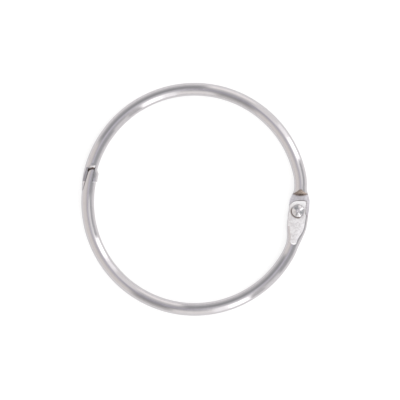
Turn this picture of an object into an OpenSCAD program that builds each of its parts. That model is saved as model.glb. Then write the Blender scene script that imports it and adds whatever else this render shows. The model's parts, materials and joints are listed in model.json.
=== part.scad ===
// Binder ring of round plated wire, lying on its side with the rivet's axis along Z.
// Two bent halves turn on one rivet at the right (+X). At the left the lower half's tongue
// lies in a trough in the end of the upper half. The origin is under the middle of the ring.

/* [Ring] */
// Clear width from the hinge plates to the wire opposite
clear_w = 50; // [30:1:100]
// Diameter of the round wire
wire_d = 3.3; // [2.6:0.1:4.2]
// Height between the centres of the two bends, which makes the ring taller than it is wide
bend_gap = 1.5; // [0:0.05:2.4]
// How much larger the upper half is bent than the lower half
bend_step = 0.1; // [0:0.05:0.4]

/* [Hinge plates] */
// Width of each pressed plate
plate_w = 5.2; // [4.6:0.1:6.4]
// How square the pressed section is: 2 is round, larger has flatter faces
plate_power = 3.5; // [2.5:0.1:5]
// Depth of the flat pressed into each outer face, below the crown of the wire
coin_depth = 0.2; // [0.1:0.02:0.4]
// Distance from the rivet to the end of a plate
plate_end = 2.5; // [2:0.1:3]
// Radius of a plate's end corners
plate_corner = 0.8; // [0.3:0.1:1.4]
// Distance from the rivet to the trimmed outer side of the lower plate
trim_out = 2.1; // [1.8:0.05:2.4]
// Distance from the rivet to the inner end of that trimmed side
trim_back = 0.7; // [0:0.1:1.5]
// Distance from the rivet to the step where the full wire starts
step_dist = 3.95; // [3.6:0.05:6]
// Distance from the rivet at which the upper half is round wire again
upper_swell = 6; // [5:0.1:8]
// Distance from the rivet at which the lower half is round wire again
lower_swell = 9.7; // [7:0.1:12]
// Length of the lower half's flat, from the rivet to its blunt end
lower_flat = 8.8; // [6:0.1:12]
// Gap between the two lapped faces
lap_gap = 0.06; // [0.02:0.01:0.12]

/* [Rivet] */
// Height of the rivet's axis below the middle of the ring
rivet_drop = 2.95; // [1:0.05:6]
// How far the rivet lies inside the lower half's bend
rivet_inset = 0.95; // [0.4:0.05:1.3]
// Distance from the rivet out to the middle of the plates' width
rivet_aside = 0.2; // [0:0.05:0.3]
// Diameter of the shank
shank_d = 1.8; // [1.4:0.1:2.2]
// Radial running clearance of the shank in the lower half
rivet_clear = 0.04; // [0.02:0.01:0.08]
// Diameter of the domed head
head_d = 3.3; // [2.6:0.1:3.8]
// Height of the domed head
head_h = 0.8; // [0.5:0.05:1.1]
// Diameter of the tail where it is spread in its countersink
tail_d = 2.8; // [2.2:0.1:3.4]

/* [Clasp] */
// Height above the middle of the ring at which the upper half's outer ear tapers out
outer_rise = 2.5; // [1.5:0.1:5]
// Height at which its inner ear ends, square across
inner_rise = 4.55; // [3:0.05:6]
// Height of the tongue's tip
tip_rise = 7.7; // [6:0.1:10]
// Distance from the wire's mid-line to the tongue's inner side
tongue_in = 0.58; // [0.4:0.02:0.7]
// Distance from the wire's mid-line to the tongue's outer side
tongue_out = 0.92; // [0.7:0.02:1.1]
// Lean of the tongue's outer side from the upright
tongue_lean = 17; // [14:1:20]
// How much more upright the trough's outer side stands
trough_flare = 1; // [0:1:4]
// How much further out the pocket in front of the nose reaches than the trough
pocket_out = 0.45; // [0.2:0.05:0.6]
// Length of that pocket
pocket_len = 1.1; // [0.6:0.1:1.5]
// Length of the slope from the crown of the wire down to the pocket's end
slope_len = 1; // [0.5:0.1:1.6]
// Depth of that slope
slope_drop = 0.5; // [0.3:0.05:0.9]
// Radius of the tongue's nose
nose_r = 1.2; // [0.8:0.05:1.6]
// Thickness of the floor under the tongue
floor_t = 1.2; // [0.8:0.05:1.6]
// How far the inner side of the upper half swells round the trough
ear_swell = 0.6; // [0.3:0.05:0.9]
// Clearance round the tongue
tongue_clear = 0.1; // [0.06:0.01:0.16]
// Gap left in front of the nose
nose_gap = 0.35; // [0.2:0.05:0.6]

/* [Hidden] */
$fn = 96;

wire_r = wire_d / 2;
plate_hw = plate_w / 2;
shank_r = shank_d / 2;
deg = 180 / PI;

// The clear width runs from the lower half's inner side to the inner side of the plates.
lower_r = (clear_w + rivet_inset - rivet_aside + plate_hw + wire_r) / 2;
upper_r = lower_r + bend_step;
upper_c = [0, bend_gap / 2];
lower_c = [0, -bend_gap / 2];
rivet_p = [lower_r - rivet_inset, -rivet_drop];

// Pressed sections are lofted through rings of this many points. They stand proud of the
// wire by a hair, so that the round wire ends inside them, but by almost nothing underneath.
ring_points = 40;
proud = 0.02;
proud_below = 0.002;
corner_rings = 5;
swell_rings = 14;

// What is cut away reaches a little past the wire
over = 1;
tool_w = 4 * plate_w;
// Radius of the rounded step, a little over the wire's own, which leaves a V on its crown
step_r = wire_r + 0.05;

function ease(x, a, b) = let (t = min(1, max(0, (x - a) / (b - a)))) t * t * (3 - 2 * t);

function swing(p, c) = atan2(p[1] - c[1], p[0] - c[0]);
function reach(p, c) = norm(p - c);
function polar(c, r, a) = c + r * [cos(a), sin(a)];
function angle_at_height(c, r, y) = 180 - asin((y - c[1]) / r);

// A point of the pressed section: half width hw across, the wire's radius up, power 2 when round
function power_cos(a, power) = sign(cos(a)) * pow(abs(cos(a)), 2 / power);
function section_point(a, hw, power) =
    [(hw + proud) * power_cos(a, power), (wire_r + proud) * power_cos(a - 90, power)];

// The section stood up at an angle round a bend's centre
function ring(c, r, a, hw, power) = [
    for (i = [0:ring_points - 1])
        let (s = section_point(360 * i / ring_points, hw, power), p = polar(c, r + s[0], a))
            [p[0], p[1], max(-proud_below, wire_r + s[1])]
];

// Stations along a pressed end, as [distance from the rivet, narrowing at the plate's corner]
function stations(swell) = [
    for (i = [0:corner_rings])
        let (a = 90 * i / corner_rings)
            [-plate_end + plate_corner * (1 - cos(a)), plate_corner * (1 - sin(a))],
    for (i = [1:swell_rings])
        [-plate_end + plate_corner + (plate_end - plate_corner + swell) * i / swell_rings, 0]
];

// Rings of a hinge end. turn is 1 where the wire runs on anticlockwise, -1 where clockwise.
// Between the first and last of each pair of distances from the rivet, the plate's width,
// its squareness and its mid-line go over to the round wire's.
function hinge_rings(c, r, turn, width, square, path) = [
    for (s = stations(width[1]))
        let (
            hw = plate_hw + (wire_r - plate_hw) * ease(s[0], width[0], width[1]) - s[1],
            power = plate_power + (2 - plate_power) * ease(s[0], square[0], square[1]),
            plate_r = reach(rivet_p, c) + rivet_aside,
            mid_r = plate_r + (r - plate_r) * ease(s[0], path[0], path[1])
        )
            ring(c, mid_r, swing(rivet_p, c) + turn * s[0] / r * deg, hw, power)
];

full_before_step = 1.5;
full_past_rivet = 3.3;
upper_hinge = hinge_rings(upper_c, upper_r, 1, [step_dist - full_before_step, upper_swell],
    [step_dist, upper_swell], [step_dist - full_before_step, upper_swell]);
lower_hinge = hinge_rings(lower_c, lower_r, -1, [full_past_rivet, lower_swell],
    [step_dist, lower_flat - 1.3], [0, lower_swell]);

// Clasp places. The tongue's inner side is an arc about the rivet, so it slides out freely.
clasp_h = tip_rise - outer_rise;
trough_end_y = tip_rise + nose_gap;
tongue_mid = polar(lower_c, lower_r, angle_at_height(lower_c, lower_r, tip_rise - nose_r));
tongue_side_r = reach(rivet_p, tongue_mid + [tongue_in, 0]);
tongue_foot = tongue_mid + (outer_rise - tongue_mid[1]) * [tan(tongue_lean), 1] - [tongue_out, 0];

// The joint turns square across the inner ear a little under the tongue's inner side
inner_tuck = 0.3;
inner_foot = [
    rivet_p[0] - sqrt(pow(tongue_side_r, 2) - pow(inner_rise - rivet_p[1], 2)) - inner_tuck,
    inner_rise
];
joint_slope = (inner_rise - outer_rise) / (inner_foot[0] - tongue_foot[0]);

// Stations of the swollen ears, and how far the round wire runs on into them
ear_rings = 6;
ear_root = 0.4;
ear_start = angle_at_height(upper_c, upper_r, trough_end_y + slope_len + over);
ear_swells = angle_at_height(upper_c, upper_r, trough_end_y + 0.2);
ear_full = angle_at_height(upper_c, upper_r, trough_end_y - 1.1);
ear_stop = angle_at_height(upper_c, upper_r, outer_rise - wire_d);
ear_tuck = 0.25;

upper_ears = [
    for (i = [0:2 * ear_rings])
        let (
            a = i <= ear_rings ? ear_start + (ear_full - ear_start) * i / ear_rings
                : ear_full + (ear_stop - ear_full) * (i - ear_rings) / ear_rings,
            swell = ease(a, ear_swells, ear_full),
            shift = ear_swell / 2 * swell + ear_tuck * ease(a, ear_full, ear_stop)
        )
            ring(upper_c, upper_r - shift, a, wire_r + ear_swell / 2 * swell, 2)
];

// The ring's box, from which the origin is set
right_x = max([for (r = upper_hinge) for (p = r) p[0]]);
left_x = -lower_r - wire_r;
top_y = upper_c[1] + upper_r + wire_r;
bottom_y = lower_c[1] - lower_r - wire_r;
middle = [(left_x + right_x) / 2, (top_y + bottom_y) / 2];

module placed() {
    translate([-middle[0], -middle[1], 0])
        children();
}

// One closed solid through rings that follow each other anticlockwise
module loft(rings) {
    n = len(rings[0]);
    last = len(rings) - 1;
    polyhedron(
        points = [for (r = rings) each r],
        faces = [
            [for (j = [n - 1:-1:0]) j],
            [for (j = [0:n - 1]) last * n + j],
            for (i = [0:last - 1]) for (j = [0:n - 1])
                let (k = (j + 1) % n) each [
                    [i * n + j, i * n + k, (i + 1) * n + k],
                    [i * n + j, (i + 1) * n + k, (i + 1) * n + j]
                ]
        ]
    );
}

function reversed(list) = [for (i = [len(list) - 1:-1:0]) list[i]];

module wire(c, r, from, to) {
    translate([c[0], c[1], wire_r])
        rotate(from)
            rotate_extrude(angle = to - from)
                translate([r, 0])
                    circle(wire_r);
}

// Moves to the middle of the wire at the step, with Y running on along the wire and
// Z out of the face that is cut away: the front of the upper half, the back of the lower.
module at_step(c, r, turn) {
    translate([c[0], c[1], wire_r])
        rotate(swing(rivet_p, c) + turn * step_dist / r * deg)
            translate([r, 0, 0])
                rotate([turn > 0 ? 0 : 180, 0, 0])
                    children();
}

// Runs an outline drawn along the wire and up across the wire's whole width
module across() {
    rotate([90, 0, 90])
        linear_extrude(tool_w, center = true)
            children();
}

// Takes the wire down to half its height, with a rounded step, and flattens the other face
module hinge_tool(flat_len) {
    reach_back = step_dist + plate_end + over;
    face = wire_r - coin_depth;
    across() {
        difference() {
            translate([-reach_back, -lap_gap / 2])
                square([reach_back + step_r, wire_d]);
            translate([step_r, -lap_gap / 2])
                circle(step_r);
        }
        polygon([
            [-reach_back, -face],
            [flat_len - step_dist, -face],
            [flat_len - step_dist + over, -face - over],
            [-reach_back, -face - over]
        ]);
    }
}

// A hinge end: the plate spreads on one side of the lapped face only, and the round wire
// runs on over it to the step.
module plate(rings, side) {
    difference() {
        loft(rings);
        translate([rivet_p[0], rivet_p[1], wire_r + side * (wire_d - lap_gap) / 2])
            cube([tool_w, 2 * tool_w, wire_d], center = true);
    }
}

// Plan between an arc about the rivet and an outer side that leans from the tongue's foot,
// each moved away from the tongue
module between_sides(inwards, outwards, lean) {
    intersection() {
        difference() {
            translate([tongue_mid[0] - wire_d, outer_rise - clasp_h])
                square([2 * wire_d, 3 * clasp_h]);
            translate(rivet_p)
                circle(tongue_side_r - inwards, $fn = 360);
        }
        translate(tongue_foot - [outwards, 0])
            rotate(-lean)
                translate([0, -clasp_h])
                    square([2 * wire_d, 4 * clasp_h]);
    }
}

// The nose is round and runs smoothly into the outer side
module tongue_plan() {
    intersection() {
        between_sides(0, 0, tongue_lean);
        translate(tongue_mid + [nose_r / cos(tongue_lean) - tongue_out, 0])
            rotate(-tongue_lean) {
                circle(nose_r);
                translate([-2 * wire_d, -3 * clasp_h])
                    square([4 * wire_d, 3 * clasp_h]);
            }
    }
}

// Trough with room round the tongue, and a wider pocket in front of its nose
module trough_plan() {
    lean = tongue_lean - trough_flare;
    between_sides(tongue_clear, tongue_clear, lean);
    intersection() {
        between_sides(tongue_clear, tongue_clear + pocket_out, lean);
        translate([tongue_mid[0] - wire_d, trough_end_y - pocket_len])
            square([2 * wire_d, clasp_h]);
    }
}

// Everything round the clasp above the joint, or below it if side is -1. The joint is
// slanted under the tongue and square across the inner ear.
module joint_side(side, drop) {
    translate([0, -drop, -over])
        linear_extrude(wire_d + 2 * over)
            polygon([
                tongue_foot - wire_d * [1, joint_slope],
                inner_foot,
                inner_foot + [2 * wire_d, 0],
                inner_foot + [2 * wire_d, side * 2 * clasp_h],
                tongue_foot + [-wire_d, side * 2 * clasp_h]
            ]);
}

// Trough for the tongue, with a slope from the crown of the wire down to its closed end
module trough_tool() {
    past = slope_len + over / 2;
    difference() {
        translate([0, 0, floor_t])
            linear_extrude(wire_d)
                intersection() {
                    trough_plan();
                    translate([tongue_mid[0] - 2 * wire_d, trough_end_y + past - 3 * clasp_h])
                        square([4 * wire_d, 3 * clasp_h]);
                }
        translate([tongue_mid[0], trough_end_y, 0])
            rotate([90, 0, 90])
                linear_extrude(tool_w, center = true)
                    polygon([
                        [0, 0],
                        [2 * past, 0],
                        [2 * past, wire_d + slope_drop * (2 * past / slope_len - 1)],
                        [0, wire_d - slope_drop]
                    ]);
    }
}

// Squares off the outer side of the lower plate's end
module trim_tool() {
    translate([rivet_p[0], rivet_p[1], wire_r])
        rotate(swing(rivet_p, lower_c))
            linear_extrude(wire_d)
                polygon([
                    [trim_out, 2 * plate_end],
                    [trim_out, -trim_back],
                    [trim_out + plate_w, -trim_back - plate_w],
                    [trim_out + plate_w, 2 * plate_end]
                ]);
}

// The end of the upper half, ended at the joint before it is hollowed for the tongue
module ears() {
    difference() {
        difference() {
            loft(upper_ears);
            joint_side(-1, 0);
        }
        trough_tool();
    }
}

module upper_half() {
    color("silver")
        placed()
            difference() {
                union() {
                    wire(upper_c, upper_r, swing(rivet_p, upper_c), ear_start + ear_root / upper_r * deg);
                    plate(upper_hinge, 1);
                    ears();
                }
                at_step(upper_c, upper_r, 1)
                    hinge_tool(upper_swell);
                translate(rivet_p) {
                    cylinder(h = wire_d, r = shank_r);
                    tail_seat();
                }
            }
}

module lower_half() {
    color("gainsboro")
        placed()
            difference() {
                union() {
                    wire(lower_c, lower_r, angle_at_height(lower_c, lower_r, tip_rise + over),
                        360 + swing(rivet_p, lower_c));
                    plate(reversed(lower_hinge), -1);
                }
                at_step(lower_c, lower_r, -1)
                    hinge_tool(lower_flat);
                translate(rivet_p)
                    cylinder(h = wire_d, r = shank_r + rivet_clear);
                trim_tool();
                difference() {
                    joint_side(1, tongue_clear);
                    translate([0, 0, floor_t + lap_gap])
                        linear_extrude(wire_d)
                            tongue_plan();
                }
            }
}

// Countersink in the back of the upper plate, which the tail of the rivet fills
module tail_seat() {
    depth = (tail_d - shank_d) / 2;
    translate([0, 0, coin_depth])
        cylinder(h = depth, r1 = tail_d / 2, r2 = shank_r);
    translate([0, 0, -over])
        cylinder(h = over + coin_depth, r = tail_d / 2);
}

module hinge_rivet() {
    head_z = wire_d - coin_depth + lap_gap / 2;
    tail_h = (tail_d - shank_d) / 2;
    tail_out = coin_depth * 2 / 3;
    rim_h = 0.15;
    dome_h = head_h - rim_h;
    dome_r = (pow(head_d / 2, 2) + pow(dome_h, 2)) / (2 * dome_h);
    dimple_r = 0.45;
    dimple_h = 0.2;
    color("whitesmoke")
        placed()
            translate(rivet_p)
                rotate_extrude() {
                    translate([0, coin_depth - tail_out])
                        square([shank_r, head_z + rim_h - coin_depth + tail_out]);
                    polygon([
                        [0, coin_depth - tail_out],
                        [tail_d / 2, coin_depth - tail_out],
                        [tail_d / 2, coin_depth],
                        [shank_r, coin_depth + tail_h],
                        [0, coin_depth + tail_h]
                    ]);
                    difference() {
                        intersection() {
                            translate([0, head_z])
                                square([head_d / 2, head_h]);
                            translate([0, head_z + head_h - dome_r])
                                circle(dome_r);
                        }
                        translate([0, head_z + head_h + dimple_r - dimple_h])
                            circle(dimple_r);
                    }
                }
}

upper_half();
lower_half();
hinge_rivet();
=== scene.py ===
import json
import math

import bmesh
import bpy
from mathutils import Color, Matrix, Vector


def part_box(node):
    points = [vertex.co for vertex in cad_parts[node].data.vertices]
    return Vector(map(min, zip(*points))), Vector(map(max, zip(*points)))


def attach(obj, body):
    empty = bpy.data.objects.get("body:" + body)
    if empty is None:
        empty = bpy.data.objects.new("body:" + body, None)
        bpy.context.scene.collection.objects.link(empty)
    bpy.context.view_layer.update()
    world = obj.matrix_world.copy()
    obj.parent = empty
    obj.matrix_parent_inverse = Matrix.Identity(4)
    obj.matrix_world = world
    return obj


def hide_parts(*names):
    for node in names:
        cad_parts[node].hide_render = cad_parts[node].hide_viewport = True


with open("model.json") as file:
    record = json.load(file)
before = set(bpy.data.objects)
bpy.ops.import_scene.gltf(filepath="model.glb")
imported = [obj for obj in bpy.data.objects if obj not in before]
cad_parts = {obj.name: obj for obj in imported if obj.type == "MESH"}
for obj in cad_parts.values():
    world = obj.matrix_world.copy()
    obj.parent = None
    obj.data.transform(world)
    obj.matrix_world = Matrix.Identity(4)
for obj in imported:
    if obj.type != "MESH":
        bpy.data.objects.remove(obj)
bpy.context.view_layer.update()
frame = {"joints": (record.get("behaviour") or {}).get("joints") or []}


# ---- Upper half of the ring ----
# Round steel wire bent to half a circle and plated bright. Its right end is pressed flat at
# the back, bored and countersunk, and holds the rivet. Its left end is hollowed by a punch
# into a trough with an ear on each side, where the other half's tongue snaps in.

# Sizes are in mm, with the ring lying on z = 0. A piece is brought to metres when it is finished.
mm = 0.001
wire_r = 1.65
wire_d = 2 * wire_r
upper_bend_r = 27.6
lower_bend_r = 27.5

# Hinge sizes. Lengths along the wire are from the rivet.
plate_half = 2.6
plate_power = 3.5
plate_end = 2.5
plate_corner = 0.8
plate_aside = 0.2
edge_r = 0.6
flat_depth = 0.2
flat_rise = 0.5
step_at = 3.95
step_len = 2.1
step_h = 1.7
step_bulge = 4
step_aside = 0.3
lap_gap = 0.06
shank_r = 0.9
tail_r = 1.4
upper_round_at = 6
tool_width = 20

# A bar is spun in short steps where it is pressed, swollen or cut, and in long ones between
plate_step = 0.12
bar_step = 0.8
clasp_step = 0.15

# Places of the finishes in the list that each half carries
PLATED, PRESSED, LAPPED, SHEARED, TROUGH = range(5)

# The hinge pin stands on the pivot. The two bends are set from the outer sides of the ring.
pivot = Vector(frame["joints"][0]["pos_m"]) / mm
pivot.z = 0
ring_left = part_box("lower_half")[0] / mm
ring_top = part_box("upper_half")[1] / mm
upper_centre = Vector((ring_left.x + lower_bend_r + wire_r, ring_top.y - upper_bend_r - wire_r, 0))
lower_centre = Vector((upper_centre.x, ring_left.y + lower_bend_r + wire_r, 0))
middle = (upper_centre + lower_centre) / 2

# Clasp sizes. The joint and the tongue's tip are up the ring from the middle of its bends.
outer_joint_y = middle.y + 2.5
inner_joint_y = middle.y + 4.55
joint_level = 0.3
joint_far = 12
tongue_tip_y = middle.y + 7.7
tongue_in = 0.58
tongue_out = 0.92
tongue_lean = math.radians(17)
trough_lean = math.radians(16)
tongue_clear = 0.1
nose_r = 1.2
trough_end_y = tongue_tip_y + 0.35
trough_floor = 1.2
pocket_out = 0.15
pocket_len = 0.8
slope_len = 0.8
slope_drop = 0.5
slope_ridge = 0.18
ear_fall = 0.12
hammer_len = 3.3
ear_swell = 0.6
ear_tuck = 0.25


def ease(x, first, last):
    """0 up to first, 1 from last on, smooth between."""
    t = min(1, max(0, (x - first) / (last - first)))
    return t * t * (3 - 2 * t)


def swing(point, centre):
    """Angle of a point round a centre, anticlockwise from the right."""
    return math.atan2(point.y - centre.y, point.x - centre.x)


def left_swing(centre, bend_r, y):
    """Angle at which the wire passes this y on the left of the ring."""
    return math.pi - math.asin((y - centre.y) / bend_r)


def bent_bar(centre, bend_r, runs):
    """Round bar spun about a bend, in runs of first angle, last angle and length of a step."""
    bar = bmesh.new()
    section = bmesh.ops.create_circle(bar, segments=80, radius=wire_r)
    stood_up = (
        Matrix.Translation(centre)
        @ Matrix.Rotation(runs[0][0], 4, "Z")
        @ Matrix.Translation((bend_r, 0, wire_r))
        @ Matrix.Rotation(math.radians(90), 4, "X")
    )
    bmesh.ops.transform(bar, matrix=stood_up, verts=section["verts"])
    last = bar.edges[:]
    for start, stop, step in runs:
        spun = bmesh.ops.spin(
            bar,
            geom=last,
            cent=centre,
            axis=(0, 0, 1),
            angle=stop - start,
            steps=round(abs(stop - start) * bend_r / step),
        )
        last = [g for g in spun["geom_last"] if isinstance(g, bmesh.types.BMEdge)]
    bmesh.ops.holes_fill(bar, edges=bar.edges[:], sides=0)
    bmesh.ops.recalc_face_normals(bar, faces=bar.faces[:])
    return bar


def rounded(angle, power):
    """Across and up, -1 to 1, on a section's edge. Power 2 is round, and more is squarer."""
    c, s = math.cos(angle), math.sin(angle)
    return math.copysign(abs(c) ** (2 / power), c), math.copysign(abs(s) ** (2 / power), s)


def past_rivet(point, centre, bend_r, turn):
    """How far along the wire a point is from the rivet. turn is 1 where the wire runs
    anticlockwise from it, and -1 where it runs clockwise."""
    return turn * math.remainder(swing(point, centre) - swing(pivot, centre), 2 * math.pi) * bend_r


def press_plate(bar, centre, bend_r, turn, face_up, end, corner_r, outer, width, square, path):
    """Spreads the bar round the rivet, squarely on the pressed side and softly on the other.
    face_up is 1 where the pressed side faces up, and -1 where it faces down. outer is the share
    of the corner that the outer side of the plate's end gets. Between each pair of distances
    from the rivet the plate's width, squareness and path go over to round wire."""
    home = swing(pivot, centre)
    mid = (pivot - centre).length + plate_aside
    first = -end - 0.1
    for v in bar.verts:
        along = past_rivet(v.co, centre, bend_r, turn)
        if not first < along < max(width[1], path[1]):
            continue
        angle = math.atan2(v.co.z - wire_r, (v.co - centre).xy.length - bend_r)
        corner = min(1, (along + end) / corner_r) * math.pi / 2
        narrowing = corner_r * (1 - math.sin(corner))
        if corner < math.pi / 2:
            along = corner_r * (1 - math.cos(corner)) - end
        half = plate_half + (wire_r - plate_half) * ease(along, *width)
        edge = edge_r - min(edge_r, along + end)
        height = wire_r - edge_r + math.sqrt(max(0, edge_r * edge_r - edge * edge))
        pressed = math.sin(angle) * face_up > 0
        power = plate_power + (2 - plate_power) * ease(along, *square) if pressed else 2
        across, up = rounded(angle, power)
        half -= narrowing * (outer if across > 0 else 1)
        out = mid + (bend_r - mid) * ease(along, *path) + half * across
        at = home + turn * along / bend_r
        v.co = centre + Vector((out * math.cos(at), out * math.sin(at), wire_r + height * up))
    # The press also frosts the bevel on the plate's inner side, where it faces up enough
    bar.normal_update()
    for face in bar.faces:
        mid_face = face.calc_center_median()
        near = first < past_rivet(mid_face, centre, bend_r, turn) < square[0] + 0.5
        inwards = (centre - mid_face).xy.normalized().dot(face.normal.xy) > 0
        if near and inwards and face.normal.z * face_up > 0.55:
            face.material_index = PRESSED


def cut_shape(outline, depth, place=Matrix(), finish=SHEARED):
    """A tool with this outline, run to a depth. finish is what the faces it leaves get."""
    tool = bmesh.new()
    face = tool.faces.new([tool.verts.new((x, y, 0)) for x, y in outline])
    run = bmesh.ops.extrude_face_region(tool, geom=[face])
    moved = [g for g in run["geom"] if isinstance(g, bmesh.types.BMVert)]
    bmesh.ops.translate(tool, vec=(0, 0, depth), verts=moved)
    bmesh.ops.recalc_face_normals(tool, faces=tool.faces[:])
    for f in tool.faces:
        f.material_index = finish
    bmesh.ops.transform(tool, matrix=place, verts=tool.verts[:])
    return tool


def as_object(name, shape, finishes=()):
    """Turns a shape and its finishes into an object in the scene."""
    mesh = bpy.data.meshes.new(name)
    shape.to_mesh(mesh)
    shape.free()
    for finish in finishes:
        mesh.materials.append(finish)
    made = bpy.data.objects.new(name, mesh)
    bpy.context.scene.collection.objects.link(made)
    return made


def cut(piece, tool):
    """Cuts a piece with a tool, whose faces hand on their finish."""
    cutter = as_object("cutter", tool, piece.data.materials)
    sawn = piece.modifiers.new("cut", "BOOLEAN")
    sawn.operation = "DIFFERENCE"
    sawn.solver = "EXACT"
    sawn.object = cutter
    seen = bpy.context.evaluated_depsgraph_get()
    shape = bpy.data.meshes.new_from_object(piece.evaluated_get(seen))
    piece.modifiers.clear()
    piece.data = shape
    bpy.data.objects.remove(cutter)


def at_step(centre, bend_r, turn):
    """Place of a tool at the step, with X along the wire, Y out of the cut face and Z across,
    and the wire half way along the tool's width."""
    return (
        Matrix.Translation((centre.x, centre.y, wire_r))
        @ Matrix.Rotation(swing(pivot, centre) + turn * step_at / bend_r, 4, "Z")
        @ Matrix.Translation((bend_r, 0, 0))
        @ Matrix.Rotation(0 if turn > 0 else math.pi, 4, "X")
        @ Matrix(((0, 0, 1, -tool_width / 2), (1, 0, 0, 0), (0, 1, 0, 0), (0, 0, 0, 1)))
    )


def halve(piece, centre, bend_r, turn, flat_len):
    """Takes the wire down to half its height up to a rounded step, and flattens the other face
    up to flat_len from the rivet. The step bulges towards the rivet."""
    place = at_step(centre, bend_r, turn)
    back = -step_at - plate_end - 1
    face = -lap_gap / 2
    half_turn = math.radians(50)
    quarter = [math.radians(a) for a in range(180, 89, -5)]
    step = [(step_len + step_len * math.cos(a), face + step_h * math.sin(a)) for a in quarter]
    outline = [(back, face), *step, (step_len, wire_d), (back, wire_d)]
    hub = Vector((step_bulge, 0, tool_width / 2 - step_aside))
    lap = bmesh.new()
    side = lap.faces.new([lap.verts.new((x, y, hub.z)) for x, y in outline])
    turned_back = Matrix.Rotation(-half_turn, 3, "Y")
    bmesh.ops.rotate(lap, cent=hub, matrix=turned_back, verts=lap.verts[:])
    bmesh.ops.spin(lap, geom=[side], cent=hub, axis=(0, 1, 0), angle=2 * half_turn, steps=40)
    bmesh.ops.recalc_face_normals(lap, faces=lap.faces[:])
    for f in lap.faces:
        f.material_index = LAPPED if f.normal.y < -0.99 else SHEARED
    bmesh.ops.transform(lap, matrix=place, verts=lap.verts[:])
    cut(piece, lap)
    flat = flat_depth - wire_r
    below = flat - flat_rise
    end = flat_len - step_at
    outline = [(back, flat), (end, flat), (end + 1, below), (back, below)]
    press = cut_shape(outline, tool_width, finish=PRESSED)
    # The flat's end is turned to lie square across the bent wire
    for v in press.verts:
        if v.co.x > end - 0.1:
            v.co.x += (v.co.z - tool_width / 2) * math.tan(end / bend_r)
    bmesh.ops.transform(press, matrix=place, verts=press.verts[:])
    cut(piece, press)


def bore(piece, radii, heights):
    """Bores a piece at the pivot between two heights, straight or tapered."""
    drill = bmesh.new()
    low, high = heights
    bmesh.ops.create_cone(
        drill,
        cap_ends=True,
        segments=96,
        radius1=radii[0],
        radius2=radii[1],
        depth=high - low,
        matrix=Matrix.Translation((pivot.x, pivot.y, (low + high) / 2)),
    )
    for f in drill.faces:
        f.material_index = SHEARED
    cut(piece, drill)


# Places of the tongue and the trough. The tongue's inner side is an arc about the rivet.
tongue_y = tongue_tip_y - nose_r
tongue_at = left_swing(lower_centre, lower_bend_r, tongue_y)
tongue_rise = (tongue_y - lower_centre.y) / lower_bend_r
tongue_mid = lower_centre + lower_bend_r * Vector((math.cos(tongue_at), tongue_rise, 0))
tongue_side_r = (tongue_mid + Vector((tongue_in, 0, 0)) - pivot).length
tongue_foot = tongue_mid + (outer_joint_y - tongue_y) * Vector((math.tan(tongue_lean), 1, 0))
tongue_foot.x -= tongue_out


def inner_side(y, clear):
    """x of the tongue's inner side at a y, with room to clear it by."""
    return pivot.x - math.sqrt((tongue_side_r - clear) ** 2 - (y - pivot.y) ** 2)


def outer_side(y, clear, lean):
    """x of the tongue's outer side at a y, or of the trough's, which leans a little less."""
    return tongue_foot.x - clear + (y - tongue_foot.y) * math.tan(lean)


def down_inner_side(top, bottom, clear):
    """Points down the tongue's inner side, from one y to another."""
    steps = 40
    heights = [top + (bottom - top) * i / steps for i in range(steps + 1)]
    return [(inner_side(y, clear), y) for y in heights]


def joint_side(side, drop):
    """Everything round the clasp up the ring from the joint, or down it where side is -1,
    moved down by drop."""
    inner_x = inner_side(inner_joint_y, 0) - joint_level
    slope = (inner_joint_y - outer_joint_y) / (inner_x - tongue_foot.x)
    far = side * joint_far
    outline = [
        (tongue_foot.x - wire_d, tongue_foot.y - wire_d * slope),
        (inner_x, inner_joint_y),
        (inner_x + 2 * wire_d, inner_joint_y),
        (inner_x + 2 * wire_d, inner_joint_y + far),
        (tongue_foot.x - wire_d, outer_joint_y + far),
    ]
    return cut_shape(outline, wire_d + 2, Matrix.Translation((0, -drop, -1)))


def shade(red, green, blue):
    """A colour as it looks, 0 to 255, as the share of the light that it throws back."""
    return (*Color((red / 255, green / 255, blue / 255)).from_srgb_to_scene_linear(), 1)


class Reading:
    """A socket that can be used in a sum. Each sum adds a Math node."""

    def __init__(self, finish, socket):
        self.finish = finish
        self.socket = socket

    def maths(self, operation, *terms):
        """Adds a Math node on these terms, which are readings or plain numbers."""
        return self.finish.add("Math", {"operation": operation}, dict(enumerate(terms)))

    def __add__(self, other):
        return self.maths("ADD", self, other)

    def __sub__(self, other):
        return self.maths("SUBTRACT", self, other)

    def __rsub__(self, other):
        return self.maths("SUBTRACT", other, self)

    def __mul__(self, other):
        return self.maths("MULTIPLY", self, other)

    def __truediv__(self, other):
        return self.maths("DIVIDE", self, other)

    def __pow__(self, other):
        return self.maths("POWER", self, other)

    __radd__ = __add__
    __rmul__ = __mul__


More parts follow.
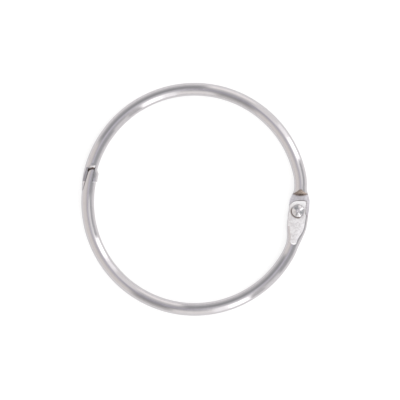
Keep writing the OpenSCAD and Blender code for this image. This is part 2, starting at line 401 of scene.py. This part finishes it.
class Finish:
    """The nodes of a material, or of the light round the ring."""

    def __init__(self, owner):
        owner.use_nodes = True
        self.tree = owner.node_tree
        self.tree.nodes.clear()

    def add(self, kind, settings, sockets, out=0):
        """One node: its kind, its settings, what goes into its sockets, and the output read."""
        node = self.tree.nodes.new("ShaderNode" + kind)
        for name, value in settings.items():
            setattr(node, name, value)
        for name, value in sockets.items():
            if isinstance(value, Reading):
                self.tree.links.new(value.socket, node.inputs[name])
            else:
                node.inputs[name].default_value = value
        return Reading(self, node.outputs[out]) if node.outputs else None

    def between(self, value, low, high, first=0, last=1):
        """first where the value is low or less, last where it is high or more, smooth between."""
        settings = {"interpolation_type": "SMOOTHSTEP", "clamp": True}
        return self.add("MapRange", settings, {0: value, 1: low, 2: high, 3: first, 4: last})

    def mix(self, factor, a, b):
        """Colour a where the factor is 0, and b where it is 1."""
        return self.add("Mix", {"data_type": "RGBA"}, {0: factor, 6: a, 7: b}, 2)

    def place(self):
        """The place on the object in mm."""
        at = self.add("TexCoord", {}, {}, "Object")
        return self.add("VectorMath", {"operation": "SCALE"}, {0: at, "Scale": 1 / mm})

    def parts(self, vector):
        """The three parts of a vector."""
        return [self.add("SeparateXYZ", {}, {0: vector}, out) for out in range(3)]

    def noise(self, vector, scale, detail=2, w=None):
        """Cloudy noise round about 0.5. w, where given, is a fourth part of its vector."""
        settings = {"noise_dimensions": "3D" if w is None else "4D"}
        sockets = {"Vector": vector, "Scale": scale, "Detail": detail}
        if w is not None:
            sockets["W"] = w
        return self.add("TexNoise", settings, sockets)

    def along_wire(self, fine, slow):
        """Marks that run along the bent wire: fine across it, slow along it, each per mm."""
        x, y, z = self.parts(self.place())
        out = (x * x + y * y) ** 0.5
        mean_r = 28
        turn = mean_r * slow
        sockets = {0: x / out * turn, 1: y / out * turn, 2: out * fine}
        return self.noise(self.add("CombineXYZ", {}, sockets), 1, 3, z * fine)

    def bump(self, height, strength, depth):
        """Height in the surface, depth in mm from low to high."""
        sockets = {"Strength": strength, "Distance": depth * mm, "Height": height}
        return self.add("Bump", {}, sockets)

    def surface(self, **sockets):
        """The shader and its sockets, with _ for each space in a socket's name."""
        sockets = {name.replace("_", " "): value for name, value in sockets.items()}
        shader = self.add("BsdfPrincipled", {}, sockets)
        self.add("OutputMaterial", {}, {"Surface": shader})


# Plated wire: bright, with fine lines from the drawing die and faint clouding in the plating
plated = bpy.data.materials.new("plated_wire")
f = Finish(plated)
lines = f.along_wire(5, 0.06)
clouds = f.noise(f.place(), 0.7, 3)
scuffs = f.between(f.along_wire(2.2, 0.5), 0.6, 0.75)
f.surface(
    Base_Color=f.mix(clouds, shade(202, 198, 200), shade(211, 208, 211)),
    Metallic=1,
    Roughness=0.1 + (lines - 0.5) * 0.08 + scuffs * 0.1 + (clouds - 0.5) * 0.06,
    Normal=f.bump(lines, 0.3, 0.012),
)


def grained(finish, coarse, fine):
    """Grain and specks left by a rough tool, each per mm, and the mottling that they make."""
    grain = finish.noise(finish.place(), coarse)
    specks = finish.noise(finish.place(), fine)
    return grain, specks, finish.between(grain * 0.5 + specks * 0.5, 0.38, 0.62)


# Pressed face: frosted by the rough face of the press, with a coarse pale grain. A highlight is
# painted at both ends, and a shadow is painted round the lower left of the rivet's head.
frosted = bpy.data.materials.new("pressed_face")
f = Finish(frosted)
x, y, z = f.parts(f.place())
grain, specks, mottle = grained(f, 1.7, 5)
metal = f.mix(mottle, shade(221, 218, 220), shade(246, 244, 246))
# Painted highlight: near white towards both ends of the plate, where its edges catch the light
painted_end_highlight = f.between(y, pivot.y + 0.7, pivot.y + 2.2) + f.between(y, pivot.y - 8.5, pivot.y - 8, 1, 0)
metal = f.mix(painted_end_highlight, metal, shade(253, 252, 253))
out = ((x - pivot.x) ** 2 + (y - pivot.y) ** 2) ** 0.5
lower_left = (x - pivot.x) * -0.7 / out - (y - pivot.y) * 0.7 / out
# Painted shadow: darker in a ring round the lower left of the rivet's head
painted_shade = f.between(out, 1.75, 2.1, 1, 0) * f.between(lower_left, 0, 0.7)
f.surface(
    Base_Color=f.mix(painted_shade, metal, shade(140, 128, 124)),
    Metallic=0.4,
    Roughness=0.48 + (specks - 0.5) * 0.2,
    Normal=f.bump(grain + specks, 0.6, 0.04),
)

# Lapped face: where the other half rubs, greyer and finer than the pressed face
lapped = bpy.data.materials.new("lapped_face")
f = Finish(lapped)
grain, specks, mottle = grained(f, 2.2, 6)
f.surface(
    Base_Color=f.mix(mottle, shade(214, 211, 217), shade(240, 238, 243)),
    Metallic=0.4,
    Roughness=0.5 + (specks - 0.5) * 0.2,
    Normal=f.bump(grain + specks, 0.5, 0.03),
)


def torn(name, dark, pale):
    """Steel torn by the punch, thinly plated over, stained and streaked up and down."""
    face = bpy.data.materials.new(name)
    f = Finish(face)
    x, y, z = f.parts(f.place())
    streaks = f.noise(f.add("CombineXYZ", {}, {0: x * 5, 1: y * 5, 2: z * 0.8}), 1, 3)
    stains = f.noise(f.place(), 1.1, 2)
    f.surface(
        Base_Color=f.mix(f.between(streaks * 0.6 + stains * 0.4, 0.35, 0.65), dark, pale),
        Metallic=0.8,
        Roughness=0.25 + (streaks - 0.5) * 0.2,
        Normal=f.bump(streaks, 0.3, 0.02),
    )
    return face


# Sheared faces are brown. Down in the trough they are painted darker, as painted shade in the deep
# recess
sheared = torn("sheared_face", shade(136, 122, 114), shade(170, 157, 148))
# Painted shade: the trough's faces get much darker colours than the other sheared faces
trough_face_painted_shade = torn("trough_face_painted_shade", shade(82, 69, 62), shade(118, 104, 96))

wire_finishes = [plated, frosted, lapped, sheared, trough_face_painted_shade]

upper_home = swing(pivot, upper_centre)
past_plate = upper_home + 8 / upper_bend_r
above_clasp = left_swing(upper_centre, upper_bend_r, 12)
below_clasp = left_swing(upper_centre, upper_bend_r, -0.8)
upper_runs = [
    (upper_home - plate_end / upper_bend_r, past_plate, plate_step),
    (past_plate, above_clasp, bar_step),
    (above_clasp, below_clasp, clasp_step),
]
upper_bar = bent_bar(upper_centre, upper_bend_r, upper_runs)
press_plate(
    upper_bar,
    upper_centre,
    upper_bend_r,
    turn=1,
    face_up=-1,
    end=plate_end,
    corner_r=plate_corner,
    outer=1,
    width=(step_at - 1.5, upper_round_at),
    square=(step_at, upper_round_at),
    path=(step_at - 1.5, 9.4),
)

# The inner side swells where the punch spreads the wire round the trough, and the outer side is
# drawn in a little
swells = left_swing(upper_centre, upper_bend_r, trough_end_y + 0.2)
swollen = left_swing(upper_centre, upper_bend_r, trough_end_y - 1.1)
tucked = left_swing(upper_centre, upper_bend_r, outer_joint_y - wire_d)
for v in upper_bar.verts:
    at = swing(v.co, upper_centre) % (2 * math.pi)
    if swells < at < 1.5 * math.pi:
        spread = ear_swell / 2 * ease(at, swells, swollen)
        tuck = ear_tuck * ease(at, swollen, tucked)
        out = (v.co - upper_centre).xy.length - upper_bend_r
        out = upper_bend_r + out * (1 + spread / wire_r) - spread - tuck
        v.co.xy = upper_centre.xy + out * Vector((math.cos(at), math.sin(at)))

upper_half = as_object("upper_wire_half", upper_bar, wire_finishes)
halve(upper_half, upper_centre, upper_bend_r, 1, upper_round_at)
bore(upper_half, (shank_r, shank_r), (-1, wire_d))
bore(upper_half, (tail_r, shank_r), (flat_depth, flat_depth + tail_r - shank_r))
cut(upper_half, joint_side(-1, 0))

# The tops of the ears are hammered flat, each with its own drop and its own lean. The outer
# one's flat stops short, where the hammer ended, and the round wire runs on beside the tongue.
slope_low, slope_high = trough_end_y - 0.1, trough_end_y + slope_len + 0.5
for side, drop, lean, low_y, top_y in (
    (-1, 0.5, 245, trough_end_y - hammer_len, trough_end_y + 0.3),
    (1, 0.15, 330, 0, slope_high),
):
    near, far = tongue_mid.x - side * 0.1, tongue_mid.x + side * 6
    outline = [(near, low_y), (far, low_y), (far, top_y), (near, top_y)]
    hammered = cut_shape(outline, 9, finish=PLATED)
    way = Vector((math.cos(math.radians(lean)), math.sin(math.radians(lean))))
    for v in hammered.verts:
        if v.co.z < 1:
            off = (v.co.x - tongue_mid.x) * way.x + (v.co.y - trough_end_y) * way.y
            v.co.z = wire_d - drop - off * ear_fall
    cut(upper_half, hammered)

trough_low = outer_joint_y - 5.2
pocket_y = trough_end_y - pocket_len
trough = [
    (outer_side(trough_low, tongue_clear, trough_lean), trough_low),
    (outer_side(pocket_y, tongue_clear, trough_lean), pocket_y),
    (outer_side(pocket_y, tongue_clear + pocket_out, trough_lean), pocket_y),
    (outer_side(trough_end_y, tongue_clear + pocket_out, trough_lean), trough_end_y),
    *down_inner_side(trough_end_y, trough_low, tongue_clear),
]
on_floor = Matrix.Translation((0, 0, trough_floor))
cut(upper_half, cut_shape(trough, wire_d, on_floor, TROUGH))

# Past the trough's end two bright slopes, left and right of a ridge, lead up out of it
slope_ends = slope_low, slope_high
left = [(outer_side(y, tongue_clear + pocket_out, trough_lean), y) for y in slope_ends]
right = down_inner_side(slope_high, slope_low, tongue_clear)
ridge_x = (left[0][0] + right[-1][0]) / 2
lap = 0.05
for side, outline in (
    (-1, [*left, (ridge_x + lap, slope_high), (ridge_x + lap, slope_low)]),
    (1, [(ridge_x - lap, slope_low), (ridge_x - lap, slope_high), *right]),
):
    slope = cut_shape(outline, wire_d, on_floor, PLATED)
    for v in slope.verts:
        if v.co.z < trough_floor + 0.1:
            rise = slope_drop * (v.co.y - trough_end_y) / slope_len
            v.co.z = wire_d - slope_drop + rise - slope_ridge * side * (v.co.x - ridge_x)
    cut(upper_half, slope)


def finish_piece(piece):
    """Joins what the cuts left open, brings a piece to metres and keeps its edges crisp."""
    near = 0.002
    speck = 0.001
    crease = math.radians(28)
    shape = bmesh.new()
    shape.from_mesh(piece.data)
    bmesh.ops.remove_doubles(shape, verts=shape.verts[:], dist=near)
    bmesh.ops.dissolve_degenerate(shape, edges=shape.edges[:], dist=speck)
    bmesh.ops.scale(shape, vec=(mm, mm, mm), verts=shape.verts[:])
    shape.to_mesh(piece.data)
    shape.free()
    piece.data.shade_smooth()
    piece.data.set_sharp_from_angle(angle=crease)


finish_piece(upper_half)
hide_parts("upper_half")
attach(upper_half, "upper")


# ---- Lower half of the ring ----
# The same wire and plating, bent a little tighter. Its right end is pressed flat in front, laps
# over the other plate under the rivet's head, and is trimmed square on its outer side. Its left
# end is cut to a tongue with a round nose that lies in the trough.

lower_end = 2.8
lower_corner = 2.1
lower_round_at = 9.7
lower_flat = 8.5
rivet_clear = 0.04
trim_out = 1.9
trim_back = 0.7
trim_lean = 0.2

lower_home = swing(pivot, lower_centre)
past_plate = lower_home - 10 / lower_bend_r
below_clasp = left_swing(lower_centre, lower_bend_r, -3) - 2 * math.pi
past_tip = left_swing(lower_centre, lower_bend_r, tongue_tip_y + 1) - 2 * math.pi
lower_runs = [
    (lower_home + lower_end / lower_bend_r, past_plate, plate_step),
    (past_plate, below_clasp, bar_step),
    (below_clasp, past_tip, clasp_step),
]
lower_bar = bent_bar(lower_centre, lower_bend_r, lower_runs)
press_plate(
    lower_bar,
    lower_centre,
    lower_bend_r,
    turn=-1,
    face_up=1,
    end=lower_end,
    corner_r=lower_corner,
    outer=0.5,
    width=(3.3, lower_round_at),
    square=(step_at, lower_flat - 1),
    path=(2.1, 12.1),
)
lower_half = as_object("lower_wire_half", lower_bar, wire_finishes)
halve(lower_half, lower_centre, lower_bend_r, -1, lower_flat)
bore(lower_half, (shank_r + rivet_clear, shank_r + rivet_clear), (0, wire_d + 1))

trim_past = 5
trim = [
    (trim_out, 2 * plate_end),
    (trim_out, -trim_back),
    (trim_out + trim_past, -trim_back - trim_past),
    (trim_out + trim_past, 2 * plate_end),
]
trim_place = Matrix.Translation((pivot.x, pivot.y, wire_r)) @ Matrix.Rotation(lower_home, 4, "Z")
trimmer = cut_shape(trim, wire_d)
# The sheared side leans out towards the lapped face, as a punched edge does
for v in trimmer.verts:
    v.co.x += trim_lean * (1 - v.co.z / (wire_r - flat_depth))
bmesh.ops.transform(trimmer, matrix=trim_place, verts=trimmer.verts[:])
cut(lower_half, trimmer)

# The nose is round and runs smoothly into the tongue's outer side
nose_mid = tongue_mid + Vector((nose_r / math.cos(tongue_lean) - tongue_out, 0, 0))
sweep = [math.pi - tongue_lean - math.radians(a) for a in range(0, 200, 3)]
nose = [nose_mid + nose_r * Vector((math.cos(a), math.sin(a), 0)) for a in sweep]
nose = [(p.x, p.y) for p in nose if (p - pivot).length > tongue_side_r]
tongue = [
    (outer_side(trough_low, 0, tongue_lean), trough_low),
    *nose,
    *down_inner_side(nose[-1][1] - 0.02, trough_low, 0),
]
# What goes is all that is up the ring from the joint, but for the tongue
around = as_object("around_tongue", joint_side(1, tongue_clear), wire_finishes)
cut(around, cut_shape(tongue, wire_d, Matrix.Translation((0, 0, trough_floor + lap_gap))))
waste = bmesh.new()
waste.from_mesh(around.data)
bpy.data.objects.remove(around)
cut(lower_half, waste)

finish_piece(lower_half)
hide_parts("lower_half")
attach(lower_half, "lower")


# ---- Hinge rivet ----
# A turned steel rivet that holds the two plates together. Its domed head has a small dimple
# from the punch, and its tail is spread into the countersink at the back.

head_low = wire_d - flat_depth + lap_gap / 2
head_r = 1.65
head_h = 0.8
shoulder_r = 0.4
dome_lean = 33
dome_steps = 20
dimple_r = 0.45
dimple_h = 0.2
dimple_rim = 0.03
tail_low = flat_depth / 3
tail_bevel = 0.05

# A shallow dome that turns down at a tight shoulder
dome_edge = math.radians(dome_lean)
dome_r = (head_r - shoulder_r * (1 - math.sin(dome_edge))) / math.sin(dome_edge)
dome_mid = head_low + head_h - dome_r
shoulder_z = dome_mid + (dome_r - shoulder_r) * math.cos(dome_edge)
dimple_mid = head_low + head_h + dimple_r - dimple_h
shoulder = [
    (head_r - shoulder_r * (1 - math.sin(a)), shoulder_z + shoulder_r * math.cos(a))
    for a in [math.radians(d) for d in range(90, dome_lean, -5)]
]
dome = [
    (dome_r * math.sin(a), dome_mid + dome_r * math.cos(a))
    for a in [dome_edge * (1 - i / dome_steps) for i in range(dome_steps + 1)]
]
dimple = [
    (dimple_r * math.sin(a), dimple_mid - dimple_r * math.cos(a))
    for a in [math.radians(d) for d in range(60, -1, -6)]
]
profile = [
    (0, tail_low),
    (tail_r - tail_bevel, tail_low),
    (tail_r, tail_low + tail_bevel),
    (tail_r, flat_depth),
    (shank_r, flat_depth + tail_r - shank_r),
    (shank_r, head_low),
    (head_r, head_low),
    *shoulder,
    *[p for p in dome if (p[0] ** 2 + (p[1] - dimple_mid) ** 2) ** 0.5 > dimple_r + dimple_rim],
    *[p for p in dimple if p[0] ** 2 + (p[1] - dome_mid) ** 2 < (dome_r - dimple_rim) ** 2],
]
turned = bmesh.new()
corners = [turned.verts.new((pivot.x + x, pivot.y, z)) for x, z in profile]
edges = [turned.edges.new(pair) for pair in zip(corners, corners[1:])]
bmesh.ops.spin(
    turned, geom=edges, cent=pivot, axis=(0, 0, 1), angle=2 * math.pi, steps=96, use_merge=True
)
bmesh.ops.remove_doubles(turned, verts=turned.verts[:], dist=0.0005)
bmesh.ops.recalc_face_normals(turned, faces=turned.faces[:])

# Turned steel, polished on the crown, with rings from the lathe and painted shade under the
# shoulder
steel = bpy.data.materials.new("rivet_steel")
f = Finish(steel)
x, y, z = f.parts(f.place())
out = ((x - pivot.x) ** 2 + (y - pivot.y) ** 2) ** 0.5
rings = f.noise(f.add("CombineXYZ", {}, {0: out * 7, 1: 0.0, 2: z * 2}), 1, 2)
marks = f.noise(f.place(), 2.2, 3)
metal = f.mix(f.between(marks, 0.35, 0.65), shade(208, 205, 208), shade(222, 220, 222))
# Painted shade: darker towards the foot of the head, under its shoulder
painted_shade = f.between(z, head_low + 0.1, head_low + 0.4, 1, 0)
f.surface(
    Base_Color=f.mix(painted_shade, metal, shade(110, 100, 97)),
    Metallic=1,
    Roughness=0.09 + (marks - 0.5) * 0.08,
    Normal=f.bump(rings + marks * 0.5, 0.2, 0.02),
)
rivet = as_object("rivet", turned, [steel])
finish_piece(rivet)
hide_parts("hinge_rivet")
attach(rivet, "upper")


# ---- Table top ----
# A plain white painted board, far wider than the ring, which lies flat on it. It is matt, so
# it shows only the soft shadow under the wire.

top = bmesh.new()
bmesh.ops.create_grid(top, x_segments=1, y_segments=1, size=4)
table_top = as_object("table_top", top)
matt_white = bpy.data.materials.new("matt_white")
f = Finish(matt_white)
plain = f.add("BsdfDiffuse", {}, {"Color": (0.85, 0.85, 0.85, 1)})
shaded = f.add("BsdfDiffuse", {}, {"Color": (0.4, 0.4, 0.4, 1)})
lit = f.add("Emission", {}, {"Color": (1, 1, 1, 1), "Strength": 0.72})
lifted = f.add("AddShader", {}, {0: shaded, 1: lit})
# To the eye, through glass and mostly in a mirror it looks white. To the rest it is plain board
rays = ("Is Camera Ray", "Is Glossy Ray", "Is Transmission Ray")
eye, mirror, glass = [f.add("LightPath", {}, {}, ray) for ray in rays]
shown = eye + mirror * 0.6 + glass
f.add("OutputMaterial", {}, {"Surface": f.add("MixShader", {}, {0: shown, 1: plain, 2: lifted})})
table_top.data.materials.append(matt_white)


# ---- Light ----
# A pale room with dark openings in its walls and a lavender ceiling. Two tall windows stand at
# the upper right and the lower right, and a soft box before each of them throws the shadows.

room = bpy.data.worlds.new("room")
bpy.context.scene.world = room
f = Finish(room)
x, y, z = f.parts(f.add("TexCoord", {}, {}, "Generated"))
# How far a direction leans from straight up or down, where a trace keeps it from 0
flat = (x * x + y * y + 0.000001) ** 0.5


def sector(azimuth, half, soft):
    """1 within half of an azimuth, 0 past its soft edge, all in degrees."""
    a = math.radians(azimuth)
    near = (x * math.cos(a) + y * math.sin(a)) / flat
    return f.between(near, math.cos(math.radians(half + soft)), math.cos(math.radians(half)))


def down(low, high):
    """0 at low degrees from straight above or less, 1 at high degrees or more."""
    return f.between(z, math.cos(math.radians(high)), math.cos(math.radians(low)), 1, 0)


def grey(level, warm=0.0):
    """Plain light, a little redder where warm is more than 0."""
    return (level * (1 + warm), level, level * (1 - warm), 1)


def lavender(level):
    """Light with a little more blue than grey has."""
    return (level, level * 0.985, level * 1.08, 1)


# Walls: the sector that each fills, where its two shades meet, and its upper and lower shade
walls = grey(1.02, 0.01)
for facing, meeting, upper, lower in (
    ((193, 38, 8), (20, 45), grey(0.74, 0.03), grey(0.93, 0.035)),
    ((70, 11, 4), (30, 60), grey(0.74), grey(1.2, 0.02)),
    ((117, 31, 5), (42, 75), grey(0.45, -0.02), grey(0.74)),
    ((247, 9, 6), (25, 75), grey(0.45), grey(0.78, 0.02)),
    ((269, 9, 3), (15, 50), grey(0.7), grey(1.08, 0.02)),
    ((350, 29, 2), (50, 90), grey(0.52, -0.02), grey(0.82)),
):
    walls = f.mix(sector(*facing), walls, f.mix(down(*meeting), upper, lower))

# A bright patch high on the right-hand wall, and two narrow walls beside the lower right window
patch = sector(10, 10, 5)
walls = f.mix(patch * down(35, 52), f.mix(patch, walls, grey(1.05)), walls)
walls = f.mix(sector(315, 4, 1.5), walls, f.mix(down(25, 65), grey(0.62), grey(0.98)))
walls = f.mix(sector(305, 4, 1), walls, grey(0.68))

# Ceiling, in sectors of its own
ceiling = lavender(0.7)
for facing, light in (
    ((75, 18, 8), lavender(0.47)),
    ((250, 16, 8), lavender(0.45)),
    ((110, 12, 6), grey(0.84)),
    ((290, 10, 5), grey(1.0)),
    ((15, 12, 6), grey(0.86)),
):
    ceiling = f.mix(sector(*facing), ceiling, light)
walls = f.mix(down(6, 20), ceiling, walls)

# Windows, each with a brighter half
for facing, upper_edge, level in (
    ((290, 9.5, 1.5), (4, 22), 1.4),
    ((294, 5, 1.5), (6, 28), 2.0),
    ((35, 5, 2), (14, 40), 1.36),
    ((26, 5.5, 1), (8, 34), 2.2),
):
    walls = f.mix(sector(*facing) * down(*upper_edge), walls, grey(level))
camera_ray = f.add("LightPath", {}, {}, "Is Camera Ray")
seen = f.mix(camera_ray, walls, (1, 1, 1, 1))
f.add("OutputWorld", {}, {"Surface": f.add("Background", {}, {"Color": seen, "Strength": 1.0})})


def soft_box(name, azimuth, off_top, power):
    """A soft box 0.8 m from the ring, at an azimuth and down from straight above, in degrees."""
    lamp = bpy.data.lights.new(name, "AREA")
    lamp.shape = "RECTANGLE"
    lamp.size = 0.2
    lamp.size_y = 0.7
    lamp.energy = power
    box = bpy.data.objects.new(name, lamp)
    box.matrix_world = (
        Matrix.Rotation(math.radians(azimuth), 4, "Z")
        @ Matrix.Rotation(math.radians(off_top), 4, "Y")
        @ Matrix.Translation((0, 0, 0.8))
        @ Matrix.Rotation(math.radians(90), 4, "Z")
    )
    box.visible_camera = False
    box.visible_glossy = False
    bpy.context.scene.collection.objects.link(box)


soft_box("upper_box", 30, 62, 1.5)
soft_box("lower_box", 291, 60, 1.0)


# ---- Camera ----
# Straight above the ring and a little right of its middle, a metre off, through a long lens,
# so that the ring is seen from above with hardly any perspective.

lens = bpy.data.cameras.new("camera")
lens.sensor_width = 36
lens.lens = 350
camera = bpy.data.objects.new("camera", lens)
camera.location = (0.001165, -0.000179, 1 + wire_r * mm)
bpy.context.scene.collection.objects.link(camera)
bpy.context.scene.camera = camera
bpy.context.scene.view_settings.view_transform = "Standard"
